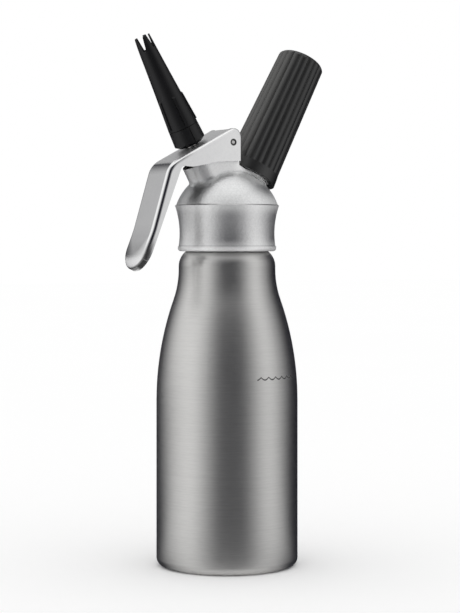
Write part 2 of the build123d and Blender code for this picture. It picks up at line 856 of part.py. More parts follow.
# Pin nut: slotted ring that holds the needle's flange
with BuildPart() as pin_nut:
    with BuildSketch(charger_plane.offset(pin_nut_foot)):
        Circle(pin_bore_radius - press_clearance)
        Circle(needle_radius + running_clearance, mode=Mode.SUBTRACT)
    extrude(amount=pin_nut_height)
    with BuildSketch(charger_plane.offset(pin_nut_foot + pin_nut_height / 2)):
        Rectangle(pin_nut_slot, 2 * pin_bore_radius)
    extrude(amount=pin_nut_height, mode=Mode.SUBTRACT)

pin_nut.part.label = "pin_nut"
export_step(pin_nut.part, "parts/pin_nut.step")

# Piercing gasket: rubber ring round the needle, under the charger's neck
piercing_gasket = turned(
    charger_section,
    charger_axis,
    ring_outline(
        needle_radius + running_clearance,
        pin_bore_radius - open_gap,
        piercing_gasket_foot,
        piercing_gasket_foot + piercing_gasket_height,
    ),
)
piercing_gasket.part.label = "piercing_gasket"
export_step(piercing_gasket.part, "parts/piercing_gasket.step")

# Check disc: loose rubber disc in the pocket under the needle
with BuildPart() as check_disc:
    with BuildSketch(charger_plane.offset(check_floor + seat_gap)):
        Circle(check_pocket_radius - check_disc_gap)
    extrude(amount=check_disc_thickness)

check_disc.part.label = "check_disc"
export_step(check_disc.part, "parts/check_disc.step")
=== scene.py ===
import math

import bmesh
import bpy
from mathutils import Matrix, Vector


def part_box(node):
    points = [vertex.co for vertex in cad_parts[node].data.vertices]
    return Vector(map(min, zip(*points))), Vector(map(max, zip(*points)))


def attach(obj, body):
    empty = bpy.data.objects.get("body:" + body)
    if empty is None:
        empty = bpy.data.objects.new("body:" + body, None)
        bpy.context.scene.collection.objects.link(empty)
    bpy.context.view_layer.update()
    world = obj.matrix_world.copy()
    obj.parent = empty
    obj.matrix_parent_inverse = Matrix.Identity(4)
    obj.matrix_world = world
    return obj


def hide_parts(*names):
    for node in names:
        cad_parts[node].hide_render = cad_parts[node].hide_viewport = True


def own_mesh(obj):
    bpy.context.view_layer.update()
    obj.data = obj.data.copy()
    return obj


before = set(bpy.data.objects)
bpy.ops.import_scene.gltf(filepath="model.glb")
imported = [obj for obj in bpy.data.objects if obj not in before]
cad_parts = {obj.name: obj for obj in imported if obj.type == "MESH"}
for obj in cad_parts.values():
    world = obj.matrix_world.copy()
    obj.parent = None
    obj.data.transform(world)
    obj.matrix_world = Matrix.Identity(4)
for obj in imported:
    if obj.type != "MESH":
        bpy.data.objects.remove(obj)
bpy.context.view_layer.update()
scene = bpy.context.scene

# Sizes in metres, in the frame of the solids
MM = 0.001
DOME_CENTRE = Vector((0, 0, 193.538)) * MM
VALVE_TILT = math.radians(-28)
CHARGER_TILT = math.radians(28)
# Turn about Z of the side of the whipper that the photograph shows
FRONT_TURN = math.radians(-30)

# Camera, as the photograph was taken
IMAGE_WIDTH, IMAGE_HEIGHT = 460, 613
CAMERA_DISTANCE = 1.0
CAMERA_HEIGHT = 183.4 * MM
FOCAL_PIXELS = 1763
OPTICAL_AXIS_X, OPTICAL_AXIS_Y = 227.0, 240.5
SENSOR = 36.0
CLIP_START, CLIP_END = 0.05, 30

# The middle of a noise, and the levels that nearly all of it lies between
NOISE_MIDDLE = 0.5
NOISE_LOW, NOISE_HIGH = 0.3, 0.7


class Value:
    """A shader socket. Arithmetic on it adds Math nodes."""

    def __init__(self, finish, socket):
        self.finish = finish
        self.socket = socket

    def math(self, operation, *terms):
        return self.finish.node("ShaderNodeMath", {"operation": operation}, dict(enumerate(terms)))

    def __add__(self, other):
        return self.math("ADD", self, other)

    def __radd__(self, other):
        return self.math("ADD", other, self)

    def __sub__(self, other):
        return self.math("SUBTRACT", self, other)

    def __rsub__(self, other):
        return self.math("SUBTRACT", other, self)

    def __mul__(self, other):
        return self.math("MULTIPLY", self, other)

    def __rmul__(self, other):
        return self.math("MULTIPLY", other, self)

    def __truediv__(self, other):
        return self.math("DIVIDE", self, other)

    def __rtruediv__(self, other):
        return self.math("DIVIDE", other, self)

    def __abs__(self):
        return self.math("ABSOLUTE", self)

    def at_least(self, other):
        return self.math("MAXIMUM", self, other)

    def root(self):
        return self.math("SQRT", self)


class Finish:
    """A node tree, and the material or world that it belongs to."""

    def __init__(self, owner):
        self.owner = owner
        owner.use_nodes = True
        self.tree = owner.node_tree
        self.tree.nodes.clear()

    def node(self, kind, settings=None, inputs=None, output=0):
        """Any node: its settings first, then the values or links of its sockets."""
        made = self.tree.nodes.new(kind)
        for name, value in (settings or {}).items():
            setattr(made, name, value)
        for name, value in (inputs or {}).items():
            if isinstance(value, Value):
                self.tree.links.new(value.socket, made.inputs[name])
            else:
                made.inputs[name].default_value = value
        return Value(self, made.outputs[output]) if made.outputs else None

    def place(self, centre=(0, 0, 0), tilt=0, turn=0):
        """Object coordinates from a centre, with what is tilted about Y or turned about Z set straight."""
        here = self.node("ShaderNodeTexCoord", output="Object")
        shifted = self.node("ShaderNodeVectorMath", {"operation": "SUBTRACT"}, {0: here, 1: tuple(centre)})
        return self.node("ShaderNodeMapping", {}, {"Vector": shifted, "Rotation": (0, -tilt, -turn)})

    def axis(self, where, letter):
        return self.node("ShaderNodeSeparateXYZ", {}, {"Vector": where}, letter)

    def length(self, where):
        return self.node("ShaderNodeVectorMath", {"operation": "LENGTH"}, {0: where}, "Value")

    def angle_round(self, where, middle):
        """Angle about Z, counted both ways from a middle angle."""
        inputs = {"Vector": where, "Angle": -middle}
        turned = self.node("ShaderNodeVectorRotate", {"rotation_type": "Z_AXIS"}, inputs)
        side = self.axis(turned, "Y")
        return side.math("ARCTAN2", side, self.axis(turned, "X"))

    def noise(self, where, per_metre, detail=2.0, roughness=0.5):
        """Noise from 0 to 1, as fine as the waves in a metre along X, Y and Z."""
        stretched = self.node("ShaderNodeVectorMath", {"operation": "MULTIPLY"}, {0: where, 1: per_metre})
        inputs = {"Vector": stretched, "Scale": 1.0, "Detail": detail, "Roughness": roughness}
        return self.node("ShaderNodeTexNoise", {}, inputs, "Fac")

    def even_noise(self, where, per_metre, detail=2.0, roughness=0.5):
        """Noise that is as fine along every axis."""
        return self.noise(where, (per_metre, per_metre, per_metre), detail, roughness)

    def between(self, value, start, end, low=0.0, high=1.0):
        """A soft step from low, where the value is at the start, to high at the end."""
        inputs = {"Value": value, "From Min": start, "From Max": end, "To Min": low, "To Max": high}
        return self.node("ShaderNodeMapRange", {"interpolation_type": "SMOOTHSTEP"}, inputs)

    def spread(self, noise):
        """A noise stretched to reach from 0 to 1."""
        return self.between(noise, NOISE_LOW, NOISE_HIGH)

    def blend(self, factor, first, second):
        """A colour between two colours."""
        first, second = (colour if isinstance(colour, Value) else (*colour, 1) for colour in (first, second))
        return self.node("ShaderNodeMix", {"data_type": "RGBA"}, {0: factor, 6: first, 7: second}, 2)

    def bump(self, height, distance, strength=1.0):
        inputs = {"Height": height, "Distance": distance, "Strength": strength}
        return self.node("ShaderNodeBump", {}, inputs, "Normal")

    def surface(self, inputs):
        shader = self.node("ShaderNodeBsdfPrincipled", {}, inputs)
        self.node("ShaderNodeOutputMaterial", {}, {"Surface": shader})
        return self.owner


def new_finish(name):
    return Finish(bpy.data.materials.new(name))


def varied(middle, *swings):
    """A value that swings about its middle, by an amount of each noise."""
    for amount, noise in swings:
        middle = middle + amount * (noise - NOISE_MIDDLE)
    return middle


def distance(first, second):
    """How far off a point is that lies so far along two square axes."""
    return (first * first + second * second).root()


# Finishes. A pair of lengths says where a soft edge starts and where it is whole. A pair of colours is the
# dark and the light of a metal or plastic.

BOTTLE_STEEL = (0.612, 0.607, 0.596), (0.697, 0.692, 0.679)
MARK_GREY = (0.035, 0.035, 0.037)
MARK_MIDDLE = math.radians(-73.5)
MARK_HALF = math.radians(21.5)
MARK_SOFT_END = 0.004
MARK_WAVE = math.radians(7.24)
MARK_HEIGHT = 107.6 * MM
MARK_RISE = 1.4 * MM
MARK_WIDTH = 0.36 * MM


def fill_mark(finish, where):
    """A level line of small waves, etched round part of the bottle: 1 on the line and 0 off it."""
    angle = finish.angle_round(where, MARK_MIDDLE)
    phase = angle * math.pi / MARK_WAVE
    wave = abs(phase.math("COSINE", phase))
    line = MARK_HEIGHT + MARK_RISE * (0.5 - wave)
    off_line = abs(finish.axis(where, "Z") - line)
    on_line = finish.between(off_line, 1.4 * MARK_WIDTH, 0.6 * MARK_WIDTH)
    return on_line * finish.between(abs(angle), MARK_HALF + MARK_SOFT_END, MARK_HALF)


def bottle_steel():
    """Satin steel, brushed round the bottle, with the fill mark on it."""
    finish = new_finish("bottle_satin_steel")
    where = finish.place()
    lines = finish.noise(where, (14, 14, 3000), 3.0, 0.6)
    broad_lines = finish.noise(where, (5, 5, 700))
    streaks = finish.noise(where, (170, 170, 1500), 2.0, 0.6)
    cloud = finish.noise(where, (22, 22, 14))
    mark = fill_mark(finish, where)
    tone = finish.spread(0.3 * lines + 0.4 * streaks + 0.2 * broad_lines + 0.1 * cloud)
    metal = finish.blend(tone, *BOTTLE_STEEL)
    rough = varied(0.39, (0.05, lines), (0.15, streaks), (0.04, cloud))
    return finish.surface({
        "Base Color": finish.blend(mark, metal, MARK_GREY),
        "Metallic": 1 - 0.7 * mark,
        "Roughness": rough + 0.15 * mark,
        "Anisotropic": 0.7,
        "Anisotropic Rotation": 0.25,
        "Normal": finish.bump(lines, 0.01 * MM, 0.25),
    })


HEAD_ALUMINIUM = (0.86, 0.86, 0.86), (1.0, 1.0, 1.0)
DOME_ALUMINIUM = (0.74, 0.745, 0.745), (0.90, 0.905, 0.905)
# Painted shade for the thin crease lines at the head's ridge and above its lip
HEAD_CREASE_SHADE_GREY = (0.12, 0.12, 0.12)
HEAD_RIDGE = 203.4 * MM
HEAD_LIP = 180.4 * MM
SKIRT_WAIST = 194 * MM
DOME_RADIUS = 30.5 * MM
OFF_DOME = DOME_RADIUS + 0.3 * MM, DOME_RADIUS + 1.2 * MM
# Half widths of the thin lines of painted shade in the creases at the ridge and above the lip
RIDGE_LINE = 0.5 * MM, 0.25 * MM
LIP_LINE = 0.4 * MM, 0.15 * MM
# Heights of the painted light, a matt skin
OVER_RIDGE = HEAD_RIDGE, HEAD_RIDGE + 0.5 * MM
UNDER_RIDGE = HEAD_RIDGE, HEAD_RIDGE - 0.5 * MM
OVER_LIP = HEAD_LIP + 4 * MM, HEAD_LIP
UNDER_LIP = HEAD_LIP, HEAD_LIP - MM
DOME_FOOT = 213 * MM, 205 * MM
DOME_TOP = 212 * MM, 217 * MM
# Sides of the painted light's matt skin, counted to the right of the front
FOOT_SIDE = -16 * MM, -8 * MM
LEVER_SIDE = -17 * MM, -20 * MM
LEVER_SIDE_END = -26.5 * MM, -24 * MM
# Places of the painted light's matt skin by the fin, and by the boss under the charger
FIN_FLANK = 3.5 * MM, 5 * MM
NEAR_FIN = 15 * MM, 4 * MM
NEAR_BOSS = 23 * MM, 15 * MM
BOSS_END = -4 * MM, 4 * MM


def head_crease_shade(finish, height):
    """How dark the thin lines of painted shade in the creases at the head's ridge and above its lip are."""
    ridge = finish.between(abs(height - HEAD_RIDGE), *RIDGE_LINE)
    lip = finish.between(abs(height - HEAD_LIP), *LIP_LINE)
    return 0.38 * ridge + 0.25 * lip


def skirt_painted_light(finish, height, to_right):
    """How much light is painted on the skirt as a matt skin, at its flared top, its lip and the side by the
    lever.
    """
    flare = finish.between(height, SKIRT_WAIST, HEAD_RIDGE) * finish.between(height, *UNDER_RIDGE)
    lip = finish.between(height, *OVER_LIP) + finish.between(height, *UNDER_LIP)
    lever_side = finish.between(to_right, *LEVER_SIDE) * finish.between(to_right, *LEVER_SIDE_END)
    lever_side = lever_side * finish.between(height, HEAD_RIDGE, HEAD_RIDGE - MM)
    return 0.33 * flare * flare + 0.2 * lip + 0.22 * lever_side


def dome_painted_light(finish, height, to_right):
    """How much light is painted on the dome as a matt skin along its foot, and how much at its top by the fin
    and the boss.
    """
    foot = finish.between(height, *DOME_FOOT) * finish.between(height, *OVER_RIDGE)
    foot = foot * finish.between(to_right, *FOOT_SIDE)
    upright = finish.place(DOME_CENTRE, tilt=CHARGER_TILT)
    aside, across = finish.axis(upright, "X"), finish.axis(upright, "Y")
    near_boss = finish.between(distance(aside, across), *NEAR_BOSS)
    near_fin = finish.between(abs(across), *NEAR_FIN)
    top = near_boss.at_least(0.45 * near_fin) * finish.between(height, *DOME_TOP)
    return 0.5 * foot, 0.5 * top


def tube_painted_light(finish, where):
    """How much light is painted on the valve tube, the fin and the boss as a matt skin."""
    off_fin = finish.between(abs(finish.axis(where, "Y")), *FIN_FLANK)
    boss = finish.between(finish.axis(where, "X"), *BOSS_END)
    return 0.25 + off_fin * (0.75 * boss - 0.13)


def head_aluminium():
    """Satin cast aluminium, a little darker on the dome, with thin lines of painted shade, and painted light as
    a matt skin in places.
    """
    finish = new_finish("head_satin_aluminium")
    where = finish.place()
    height = finish.axis(where, "Z")
    to_right = finish.axis(finish.place(turn=FRONT_TURN), "X")
    off_dome = finish.between(finish.length(finish.place(DOME_CENTRE)), *OFF_DOME)
    off_dome = off_dome * finish.between(height, HEAD_RIDGE + MM, HEAD_RIDGE + 2 * MM)
    on_dome = (1 - off_dome) * finish.between(height, HEAD_RIDGE, HEAD_RIDGE + MM)
    grain = finish.even_noise(where, 1500, 3.0, 0.6)
    blasted = finish.even_noise(where, 900, 2.0, 0.6)
    turned = finish.noise(where, (30, 30, 2200))
    cloud = finish.even_noise(where, 60, 3.0, 0.55)
    tone = finish.spread(0.5 * blasted + 0.2 * grain + 0.15 * turned + 0.15 * cloud)
    metal = finish.blend(on_dome, finish.blend(tone, *HEAD_ALUMINIUM), finish.blend(tone, *DOME_ALUMINIUM))
    foot_painted_light, top_painted_light = dome_painted_light(finish, height, to_right)
    # matt: painted light, a matt skin that brightens the skirt, dome, tube, fin and boss in places
    matt = skirt_painted_light(finish, height, to_right) + foot_painted_light + top_painted_light * (1 - off_dome)
    return finish.surface({
        "Base Color": finish.blend(head_crease_shade(finish, height), metal, HEAD_CREASE_SHADE_GREY),
        "Metallic": 1 - (matt + off_dome * tube_painted_light(finish, where)),
        "Roughness": varied(0.37, (0.1, grain), (0.08, cloud)),
        "Anisotropic": 0.35,
        "Normal": finish.bump(0.6 * blasted + 0.3 * grain + 0.1 * turned, 0.16 * MM),
    })


LEVER_ALUMINIUM = (0.84, 0.84, 0.845), (0.90, 0.90, 0.90)
# Painted light: the white inside the channel and of the highlight along the web's edge
LEVER_PAINTED_LIGHT = (0.97, 0.97, 0.97)
# Painted shade on the lever: in its bend, on the front of its channel, at its end, and round the pin and the
# heel
LEVER_DARK = (0.04, 0.04, 0.04)
LEVER_TIP = Vector((-62.4, 0, 168.1)) * MM
LEVER_KNEE = Vector((-53.9, 0, 189.1)) * MM
LEVER_BEND = Vector((-43.0, 0, 225.5)) * MM
HANDLE_SLOPE, TIP_SLOPE = math.radians(16.6), math.radians(22)
LEVER_HALF_WIDTH, CHANNEL_HALF_WIDTH = 12.5 * MM, 10.5 * MM
LEVER_WALL = 1.6 * MM
LEVER_WEB_TOP = 48.5 * MM
WEB_SKIN = LEVER_WEB_TOP - 0.8 * MM, LEVER_WEB_TOP - 0.2 * MM
EDGE_ROUND = 2.4 * MM
ROLL_LENGTH, ROLL_WIDTH, ROLL_RADIUS = 27 * MM, 15 * MM, 48 * MM
PIN_RING = 2.1 * MM, 1.9 * MM
HEEL_CENTRE, HEEL_ROUND = Vector((-2.76, 0, 242.02)) * MM, 4.4 * MM
HEEL_RIM = HEEL_ROUND - 0.6 * MM, HEEL_ROUND - 0.25 * MM
HEEL_TOP, HEEL_BACK = (-1 * MM, 1 * MM), (-3 * MM, -1.5 * MM)
LEVER_GRAIN, WEB_GRAIN = 0.004 * MM, 0.01 * MM
# Places in the channel: behind the handle's face, under the web, and from its middle to its sides
BEHIND_FACE = 0.8 * LEVER_WALL, 0.95 * LEVER_WALL
UNDER_WEB = LEVER_WEB_TOP - 0.5 * LEVER_WALL, LEVER_WEB_TOP - 0.8 * LEVER_WALL
CHANNEL_SIDE = CHANNEL_HALF_WIDTH + 0.4 * MM, CHANNEL_HALF_WIDTH
FRONT_HALF = -2 * MM, -7 * MM
FRONT_RIM = 0.1 * MM - LEVER_HALF_WIDTH, 0.3 * MM - LEVER_HALF_WIDTH
BACK_RIM = 2 * LEVER_WALL, 2.5 * LEVER_WALL
# Distances up the handle from its tip, and into the handle from its face
# Where the painted highlight on the tip starts and where it is whole
TIP_HIGHLIGHT_SPAN = 8.5 * MM, 4 * MM
END_SHADE_TOP, END_SHADE_FOOT = (18 * MM, 11 * MM), (5 * MM, 9 * MM)
END_RIM_TOP, END_RIM_BACK = (21 * MM, 10 * MM), (4.2 * MM, 2.8 * MM)
# Places along the lever
WEB_START = LEVER_BEND.x + 3 * MM, LEVER_BEND.x + 18 * MM
DEEP_IN_BEND = LEVER_BEND.z - 14 * MM, LEVER_BEND.z - 3 * MM
HANDLE_TOP = LEVER_BEND.z - 8 * MM, LEVER_BEND.z - 12 * MM
HANDLE_RIM_FOOT = LEVER_TIP.z + 9 * MM, LEVER_TIP.z + 15 * MM


def lever_end(finish):
    """The handle's end: its rolled sides' height in metres, 1 on its satin tip that is a painted highlight, and
    how dark its painted shade is.
    """
    where = finish.place(LEVER_TIP, tilt=TIP_SLOPE)
    up, across, inward = (finish.axis(where, letter) for letter in "ZYX")
    below = (LEVER_HALF_WIDTH - up).at_least(0)
    from_side = LEVER_HALF_WIDTH - distance(across, below)
    past_side = (finish.between(up, 0, ROLL_LENGTH, ROLL_WIDTH, 0) - from_side).at_least(0)
    height = past_side * past_side * (-0.5 / ROLL_RADIUS)
    on_face = finish.between(from_side, 0, 0.6 * EDGE_ROUND)
    # satin: the painted highlight on the tip, a matt patch
    satin = on_face * finish.between(up, *TIP_HIGHLIGHT_SPAN)
    shade = on_face * finish.between(up, *END_SHADE_TOP) * finish.between(up, *END_SHADE_FOOT)
    rim = finish.between(from_side, 0.4 * EDGE_ROUND, 0.1 * EDGE_ROUND)
    rim = rim * finish.between(up, *END_RIM_TOP) * finish.between(inward, *END_RIM_BACK)
    return height, satin, 0.22 * shade + 0.8 * rim


def web_edge(finish, where, along_valve):
    """The edge along the web: the height in metres that makes it crisp, and 1 on its painted bright highlight
    line.
    """
    up = along_valve - (LEVER_WEB_TOP - EDGE_ROUND)
    out = abs(finish.axis(where, "Y")) - (LEVER_HALF_WIDTH - EDGE_ROUND)
    corner = up.math("SMOOTH_MAX", up, out, 0.6 * EDGE_ROUND).at_least(0.5 * EDGE_ROUND)
    past_bend = finish.between(finish.axis(where, "X"), *WEB_START)
    height = (EDGE_ROUND ** 2 / corner - EDGE_ROUND) * past_bend
    painted_highlight = finish.between(abs(up - out), 0.5 * EDGE_ROUND, 0.25 * EDGE_ROUND)
    painted_highlight = painted_highlight * finish.between(up, 0.3 * EDGE_ROUND, 0.5 * EDGE_ROUND)
    return height, painted_highlight * past_bend


def lever_inside(finish, handle, along_valve):
    """1 inside the lever's channel and 0 on its skin."""
    tip = finish.place(LEVER_KNEE, tilt=TIP_SLOPE)
    inward = finish.axis(handle, "X").at_least(finish.axis(tip, "X"))
    between_sides = finish.between(abs(finish.axis(handle, "Y")), *CHANNEL_SIDE)
    return finish.between(inward, *BEHIND_FACE) * finish.between(along_valve, *UNDER_WEB) * between_sides


def lever_shade(finish, where, handle, inside):
    """Painted shade: 1 where the lever mirrors only the head, deep in its bend and on the front side of its
    channel.
    """
    height, across = finish.axis(where, "Z"), finish.axis(handle, "Y")
    deep = finish.between(height, *DEEP_IN_BEND)
    rim = finish.between(across, *FRONT_RIM) * finish.between(finish.axis(handle, "X"), *BACK_RIM)
    rim = rim * finish.between(height, *HANDLE_RIM_FOOT)
    front = finish.between(across, *FRONT_HALF) * finish.between(height, *HANDLE_TOP)
    return (inside * deep).at_least(front * inside.at_least(rim))


def pin_ring(finish):
    """1 on the shaded ring round the pivot pin and 0 on the rest of the cheeks."""
    low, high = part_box("lever_pin")
    here = finish.place((low + high) / 2)
    off_pin = distance(finish.axis(here, "X"), finish.axis(here, "Z"))
    return finish.between(off_pin, *PIN_RING)


def heel_rim(finish):
    """1 on the shaded rim of the cheeks' round heel and 0 on the rest of the lever."""
    here = finish.place(HEEL_CENTRE)
    along, up = finish.axis(here, "X"), finish.axis(here, "Z")
    rim = finish.between(distance(along, up), *HEEL_RIM)
    return rim * finish.between(up, *HEEL_TOP) * finish.between(along, *HEEL_BACK)


def lever_aluminium():
    """Polished aluminium with a satin web, painted light inside the channel, a painted highlight on the tip and
    along the web's edge, and the lever's painted shades.
    """
    finish = new_finish("lever_polished_aluminium")
    where = finish.place()
    handle = finish.place(LEVER_KNEE, tilt=HANDLE_SLOPE)
    along_valve = finish.axis(finish.place(DOME_CENTRE, tilt=VALVE_TILT), "Z")
    streaks = finish.noise(where, (420, 2600, 420))
    grain = finish.even_noise(where, 900)
    cloud = finish.even_noise(where, 45)
    on_web = finish.between(along_valve, *WEB_SKIN)
    inside = lever_inside(finish, handle, along_valve)
    shade = lever_shade(finish, where, handle, inside)
    end_height, tip_highlight, end_shade = lever_end(finish)
    edge_height, painted_highlight_edge = web_edge(finish, where, along_valve)
    tone = finish.spread(0.4 * streaks + 0.3 * grain + 0.3 * cloud)
    # pale: painted light inside the channel and the painted highlight along the web's edge
    pale = finish.blend(inside.at_least(painted_highlight_edge), finish.blend(tone, *LEVER_ALUMINIUM), LEVER_PAINTED_LIGHT)
    dark = shade.at_least(end_shade).at_least(0.85 * pin_ring(finish)).at_least(0.55 * heel_rim(finish))
    # matt: painted light inside the channel and painted highlights on the tip and the web's edge
    matt = (0.9 * inside).at_least(0.55 * tip_highlight).at_least(0.9 * painted_highlight_edge)
    rough = varied(0.13, (0.06, streaks), (0.05, cloud))
    texture = (0.5 * streaks + 0.5 * grain) * (LEVER_GRAIN + WEB_GRAIN * on_web)
    return finish.surface({
        "Base Color": finish.blend(dark, pale, LEVER_DARK),
        "Metallic": 1 - matt,
        "Roughness": rough + 0.26 * on_web + 0.4 * inside + 0.3 * tip_highlight + 0.3 * end_shade,
        "Normal": finish.bump(end_height + edge_height + texture, 1.0),
    })


NOZZLE_BLACK = (0.004, 0.004, 0.005), (0.0065, 0.0065, 0.0075)


def nozzle_plastic():
    """Smooth black plastic."""
    finish = new_finish("nozzle_black_plastic")
    where = finish.place()
    grain = finish.even_noise(where, 2600)
    cloud = finish.even_noise(where, 90, 3.0)
    return finish.surface({
        "Base Color": finish.blend(cloud, *NOZZLE_BLACK),
        "Roughness": varied(0.36, (0.12, grain), (0.08, cloud)),
        "Specular IOR Level": 0.33,
        "Normal": finish.bump(grain, 0.03 * MM, 0.25),
    })


HOLDER_BLACK = (0.003, 0.003, 0.003), (0.006, 0.006, 0.006)
# Painted light: a paler colour on the holder's side by the nozzle
HOLDER_PAINTED_LIGHT = (0.052, 0.051, 0.048)
HOLDER_RADIUS = 15 * MM
# Direction across the holder to its side with painted light, by the nozzle
LIT_SIDE_X, LIT_SIDE_Y = -0.84, 0.54


def holder_plastic():
    """Matt black plastic, with painted light on one side."""
    finish = new_finish("holder_matt_black_plastic")
    where = finish.place()
    grain = finish.even_noise(where, 2200, 3.0, 0.6)
    cloud = finish.even_noise(where, 70, 3.0)
    upright = finish.place(DOME_CENTRE, tilt=CHARGER_TILT)
    to_side = LIT_SIDE_X * finish.axis(upright, "X") + LIT_SIDE_Y * finish.axis(upright, "Y")
    # Painted light, paler towards the side by the nozzle
    lit_side = finish.between(to_side, -0.1 * HOLDER_RADIUS, 0.9 * HOLDER_RADIUS)
    return finish.surface({
        "Base Color": finish.blend(lit_side, finish.blend(cloud, *HOLDER_BLACK), HOLDER_PAINTED_LIGHT),
        "Roughness": varied(0.38, (0.12, grain), (0.1, cloud)),
        "Specular IOR Level": 0.82,
        "Normal": finish.bump(grain, 0.04 * MM, 0.35),
    })


MOULDED = {"metallic": 0.0, "grain_depth": 0.03 * MM}
TURNED = {"metallic": 1.0, "grain_depth": 0.02 * MM}


def plain_finish(name, dark, light, rough, metallic, grain_depth, fine=1600, broad=140):
    """A moulded, plated or turned piece with a fine grain and a faint cloud."""
    finish = new_finish(name)
    where = finish.place()
    grain = finish.even_noise(where, fine)
    cloud = finish.even_noise(where, broad)
    return finish.surface({
        "Base Color": finish.blend(cloud, dark, light),
        "Metallic": metallic,
        "Roughness": varied(rough, (0.1, grain)),
        "Normal": finish.bump(grain, grain_depth, 0.2),
    })


FINISHES = {
    "bottle_steel": bottle_steel(),
    "head_aluminium": head_aluminium(),
    "lever_aluminium": lever_aluminium(),
    "black_plastic": nozzle_plastic(),
    "holder_plastic": holder_plastic(),
    "steel": plain_finish(
        "turned_bright_steel", (0.55, 0.545, 0.54), (0.64, 0.635, 0.63), 0.2, **TURNED, fine=1800, broad=120),
    "charger_steel": plain_finish(
        "charger_plated_steel", (0.62, 0.62, 0.63), (0.69, 0.69, 0.70), 0.2, **TURNED),
    "brass": plain_finish(
        "pin_nut_brass", (0.66, 0.49, 0.21), (0.76, 0.59, 0.29), 0.3, **TURNED),
    "pale_plastic": plain_finish(
        "bush_pale_plastic", (0.76, 0.75, 0.71), (0.82, 0.81, 0.77), 0.38, **MOULDED),
    "pale_rubber": plain_finish(
        "gasket_pale_rubber", (0.58, 0.56, 0.52), (0.66, 0.64, 0.60), 0.6, **MOULDED),
    "dark_rubber": plain_finish(
        "seal_dark_rubber", (0.022, 0.022, 0.022), (0.034, 0.034, 0.034), 0.55, **MOULDED),
}

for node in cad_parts.values():
    slot_name = node.material_slots[0].material.name
    node.material_slots[0].material = FINISHES[slot_name]


# Pieces that the solids leave to the looks

THREAD_DEPTH, THREAD_SUNK = 0.55 * MM, 0.1 * MM
# Half widths of a thread in pitches
THREAD_FOOT, THREAD_CREST = 0.36, 0.14
STEPS_PER_TURN = 96
SHARP_ANGLE = math.radians(35)
SPRING_WELD = 0.002 * MM


def new_object(name, mesh, material):
    """Turns a bmesh into a named object with a material."""
    data = bpy.data.meshes.new(name)
    mesh.to_mesh(data)
    mesh.free()
    data.materials.append(material)
    made = bpy.data.objects.new(name, data)
    scene.collection.objects.link(made)
    return made


def finished(name, mesh, body, slot):
    """Turns a bmesh into a named piece that rides on a body."""
    piece = new_object(name, mesh, FINISHES[slot])
    piece.data.shade_smooth()
    piece.data.set_sharp_from_angle(angle=SHARP_ANGLE)
    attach(piece, body)
    return piece


def tilted(angle):
    """From a screw's own axis at the dome's centre to its place in the frame."""
    return Matrix.Translation(DOME_CENTRE) @ Matrix.Rotation(angle, 4, "Y")


def thread(name, body, slot, placing, root, pitch, start, end):
    """A screw thread: a trapezoid turned up along a helix, standing on the core of radius root."""
    turns = (end - start) / pitch
    steps = round(turns * STEPS_PER_TURN)
    sunk, crest = root - THREAD_SUNK, root + THREAD_DEPTH
    foot_half, crest_half = THREAD_FOOT * pitch, THREAD_CREST * pitch
    lower = ((sunk, -foot_half), (root, -foot_half), (crest, -crest_half))
    upper = ((crest, crest_half), (root, foot_half), (sunk, foot_half))
    mesh = bmesh.new()
    first = mesh.faces.new([mesh.verts.new((radius, 0, start + height)) for radius, height in lower + upper])
    bmesh.ops.spin(
        mesh, geom=[first], cent=(0, 0, 0), axis=(0, 0, 1), dvec=(0, 0, (end - start) / steps),
        angle=2 * math.pi * turns, steps=steps, use_merge=False, use_duplicate=False,
    )
    bmesh.ops.recalc_face_normals(mesh, faces=mesh.faces)
    bmesh.ops.transform(mesh, matrix=placing, verts=mesh.verts)
    finished(name, mesh, body, slot)


def valve_spring_coil():
    """The return spring, a copy of the solid's coil."""
    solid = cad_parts["valve_spring"]
    mesh = bmesh.new()
    mesh.from_mesh(solid.data)
    bmesh.ops.remove_doubles(mesh, verts=mesh.verts, dist=SPRING_WELD)
    piece = finished("valve_spring_coil", mesh, "head", "steel")
    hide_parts("valve_spring")
    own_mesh(piece)


thread("bottle_neck_thread", "bottle", "bottle_steel", Matrix.Identity(4),
       root=22.4 * MM, pitch=4 * MM, start=180.2 * MM, end=190.4 * MM)
thread("charger_stud_thread", "head", "head_aluminium", tilted(CHARGER_TILT),
       root=9.8 * MM, pitch=2.5 * MM, start=33.0 * MM, end=40.6 * MM)
thread("nozzle_spigot_thread", "valve", "black_plastic", tilted(VALVE_TILT),
       root=5.6 * MM, pitch=2 * MM, start=62.6 * MM, end=66.0 * MM)
valve_spring_coil()


# Floor, light and camera

FLOOR_HALF = 6.0
FLOOR_WHITE = (0.99, 0.99, 0.99), (1.0, 1.0, 1.0)
# The cards are drawn on a shell: a ring on the floor, from under the bottle out to an upright wall
CARD_INNER = 36.6 * MM
CARD_LIFT = 0.1 * MM
CARD_RADIUS = 1.5
CARD_TOP = 3.0
CARD_STEPS = 180
# The height in which a card passes from its floor part to its wall part, and the share of its full height up
# to which it is whole
CARD_FLOOR_FADE = 0.3
CARD_WHOLE = 0.65
CARD_DEPTH = 0.995
CARD_SHADE = (0.006, 0.0065, 0.013, 1)
# Each card: its degrees right of the front, its half width and soft edge in degrees, how many degrees
# narrower it is for each metre up, the height where it ends, the radius on the floor where it is whole, and
# its depth and soft edge there
CARDS = (
    {"right": 7, "half": 12, "soft": 60, "lean": 0, "top": 2.4,
     "foot": 72 * MM, "floor_depth": 0.875, "floor_soft": 60},
    {"right": -164, "half": 14, "soft": 64, "lean": 10, "top": 2.0,
     "foot": 37 * MM, "floor_depth": 0.98, "floor_soft": 104},
    {"right": 150, "half": 12, "soft": 80, "lean": 5, "top": 3.0,
     "foot": 37 * MM, "floor_depth": 0.98, "floor_soft": 92},
)
